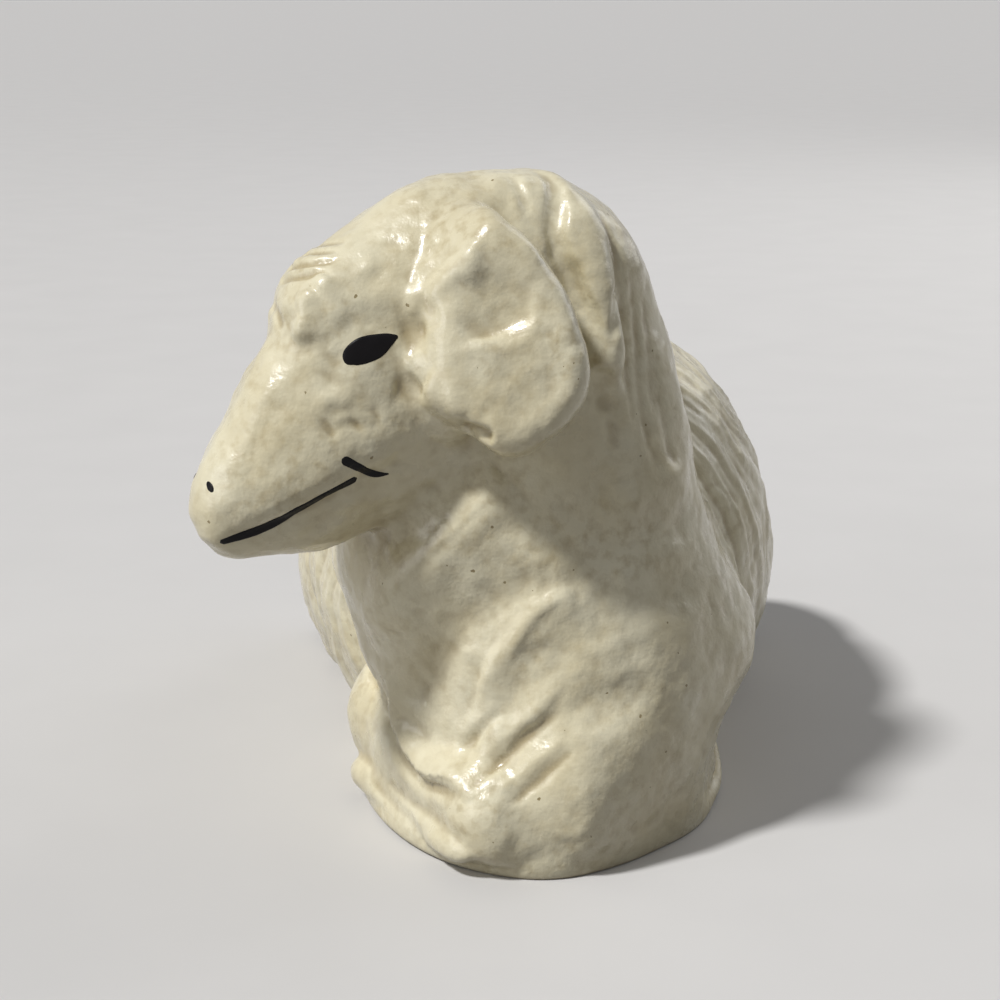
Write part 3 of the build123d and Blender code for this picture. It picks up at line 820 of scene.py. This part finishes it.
def enamel_piece(name, clay, path, half_widths, material):
    """A brush stroke that lies on the skin: a low dome over its path, closed below the skin."""
    count = len(path)
    half = smooth_path(np.array(half_widths)[:, None], count)[:, 0]
    normals = clay.normals(path)
    heading = np.gradient(path, axis=0)
    side = np.cross(normals, heading)
    side /= np.linalg.norm(side, axis=1, keepdims=True)
    travel = np.concatenate(([0], np.cumsum(np.linalg.norm(np.diff(path, axis=0), axis=1))))
    to_end = np.minimum(travel, travel[-1] - travel)
    rounded = np.clip(1 - (1 - to_end / np.maximum(half, THIN)) ** 2, THIN, 1)
    half *= np.sqrt(np.where(to_end < half, rounded, 1))
    rows = []
    for share in np.linspace(-1, 1, ENAMEL_ROWS):
        row = clay.snap(path + share * half[:, None] * side)
        rise = np.minimum(ENAMEL_RISE, ENAMEL_RISE_SHARE * half) * (1 - ENAMEL_EDGE_FALL * share**4)
        rows.append(row + rise[:, None] * clay.normals(row))
    low_rows = [row - ENAMEL_DEPTH * clay.normals(row) for row in rows]

    def at(layer, row, column):
        return (layer * ENAMEL_ROWS + row) * count + column

    faces = []
    for row in range(ENAMEL_ROWS - 1):
        for column in range(count - 1):
            ring = [(row, column), (row, column + 1), (row + 1, column + 1), (row + 1, column)]
            faces.append([at(0, *corner) for corner in ring])
            faces.append([at(1, *corner) for corner in ring[:1] + ring[:0:-1]])
    for column in range(count - 1):
        for row, turned in ((0, False), (ENAMEL_ROWS - 1, True)):
            wall = [at(0, row, column), at(1, row, column), at(1, row, column + 1), at(0, row, column + 1)]
            faces.append(wall[::-1] if turned else wall)
    for row in range(ENAMEL_ROWS - 1):
        for column, turned in ((0, True), (count - 1, False)):
            wall = [at(0, row, column), at(1, row, column), at(1, row + 1, column), at(0, row + 1, column)]
            faces.append(wall[::-1] if turned else wall)
    return add_piece(name, np.vstack(rows + low_rows), faces, material)


def dress(piece, node):
    """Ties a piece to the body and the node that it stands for."""
    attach(piece, "root")
    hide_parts(node)


def build_pieces():
    """Every node's own piece: shells of the carved clay, then the enamel on both sides of the face."""
    clay = build_clay()
    carve(clay)
    points, quads, normals, owners = skin_mesh(clay)
    hollows = clay.hollows(points)
    glaze = cream_glaze()
    unglazed = bare_clay()
    enamel = black_enamel()
    for index, (name, _) in enumerate(CLAY_PIECES):
        material = unglazed if name == "base_plate" else glaze
        piece = shell_piece(name + "_skin", points, normals, hollows, quads[owners == index], material)
        dress(piece, name)
    for mark, (pixels, half_widths) in ENAMEL_STROKES.items():
        path = clay.hit(smooth_path(pixels, ENAMEL_POINTS))
        for side, route in (("left", path), ("right", mirrored(path)[::-1])):
            widths = half_widths if side == "left" else half_widths[::-1]
            piece = enamel_piece(f"{side}_{mark}_enamel", clay, clay.snap(route), widths, enamel)
            dress(piece, f"{side}_{mark}")


# The floor's half width in metres
FLOOR_REACH = 20


def build_floor():
    """A pale sheet, darker in the light that it throws back on the figure."""
    floor = bpy.data.meshes.new("floor")
    corners = [(-1, -1), (1, -1), (1, 1), (-1, 1)]
    floor.from_pydata([(FLOOR_REACH * x, FLOOR_REACH * y, 0) for x, y in corners], [], [(0, 1, 2, 3)])
    sheet = add_object("floor", floor)
    paint = Paint(bpy.data.materials.new("floor"))
    pale = paint.mix(paint.noise(paint.place(), FLOOR_SCALE), FLOOR_PALE, FLOOR_DEEP)
    paint.surface(Base_Color=paint.mix(paint.seen_directly(), FLOOR_UNSEEN, pale), Roughness=0.7)
    floor.materials.append(paint.owner)


def build_world():
    """A grey backdrop that gives less light than it shows."""
    world = bpy.data.worlds.new("studio")
    paint = Paint(world, BACKGROUND)
    paint.surface(Color=AMBIENT_COLOUR, Strength=AMBIENT_STRENGTH)
    ambient = paint.shader.outputs[0]
    backdrop = paint.node("ShaderNodeBackground", Color=BACKDROP_COLOUR).outputs[0]
    choice = paint.node("ShaderNodeMixShader", i0=paint.seen_directly(), i1=ambient, i2=backdrop)
    paint.supply(paint.tree.nodes["World Output"], {"Surface": choice.outputs[0]})
    bpy.context.scene.world = world


def build_lamps():
    """The main lamp, which is far away, and the others."""
    key = bpy.data.lights.new("key", "SUN")
    key.energy = KEY_POWER
    key.angle = KEY_ANGLE
    sun = add_object("key", key)
    sun.rotation_euler = Vector(KEY_DIRECTION).to_track_quat("Z", "Y").to_euler()
    for name, place, size, power in LAMPS:
        lamp = bpy.data.lights.new(name, "AREA")
        lamp.size = size
        lamp.energy = power
        holder = add_object(name, lamp)
        holder.location = place
        holder.rotation_euler = (Vector(LAMP_TARGET) - Vector(place)).to_track_quat("-Z", "Y").to_euler()


def build_camera():
    """The photograph's camera."""
    camera = bpy.data.cameras.new("camera")
    camera.sensor_width = SENSOR_WIDTH
    camera.lens = FOCAL_PIXELS * SENSOR_WIDTH / IMAGE_SIZE
    holder = add_object("camera", camera)
    holder.location = Vector(CAMERA_PLACE * MM)
    holder.rotation_euler = (math.pi / 2 - CAMERA_PITCH, 0, 0)
    bpy.context.scene.camera = holder


bpy.context.scene.view_settings.view_transform = "Standard"
build_pieces()
build_floor()
build_world()
build_lamps()
build_camera()
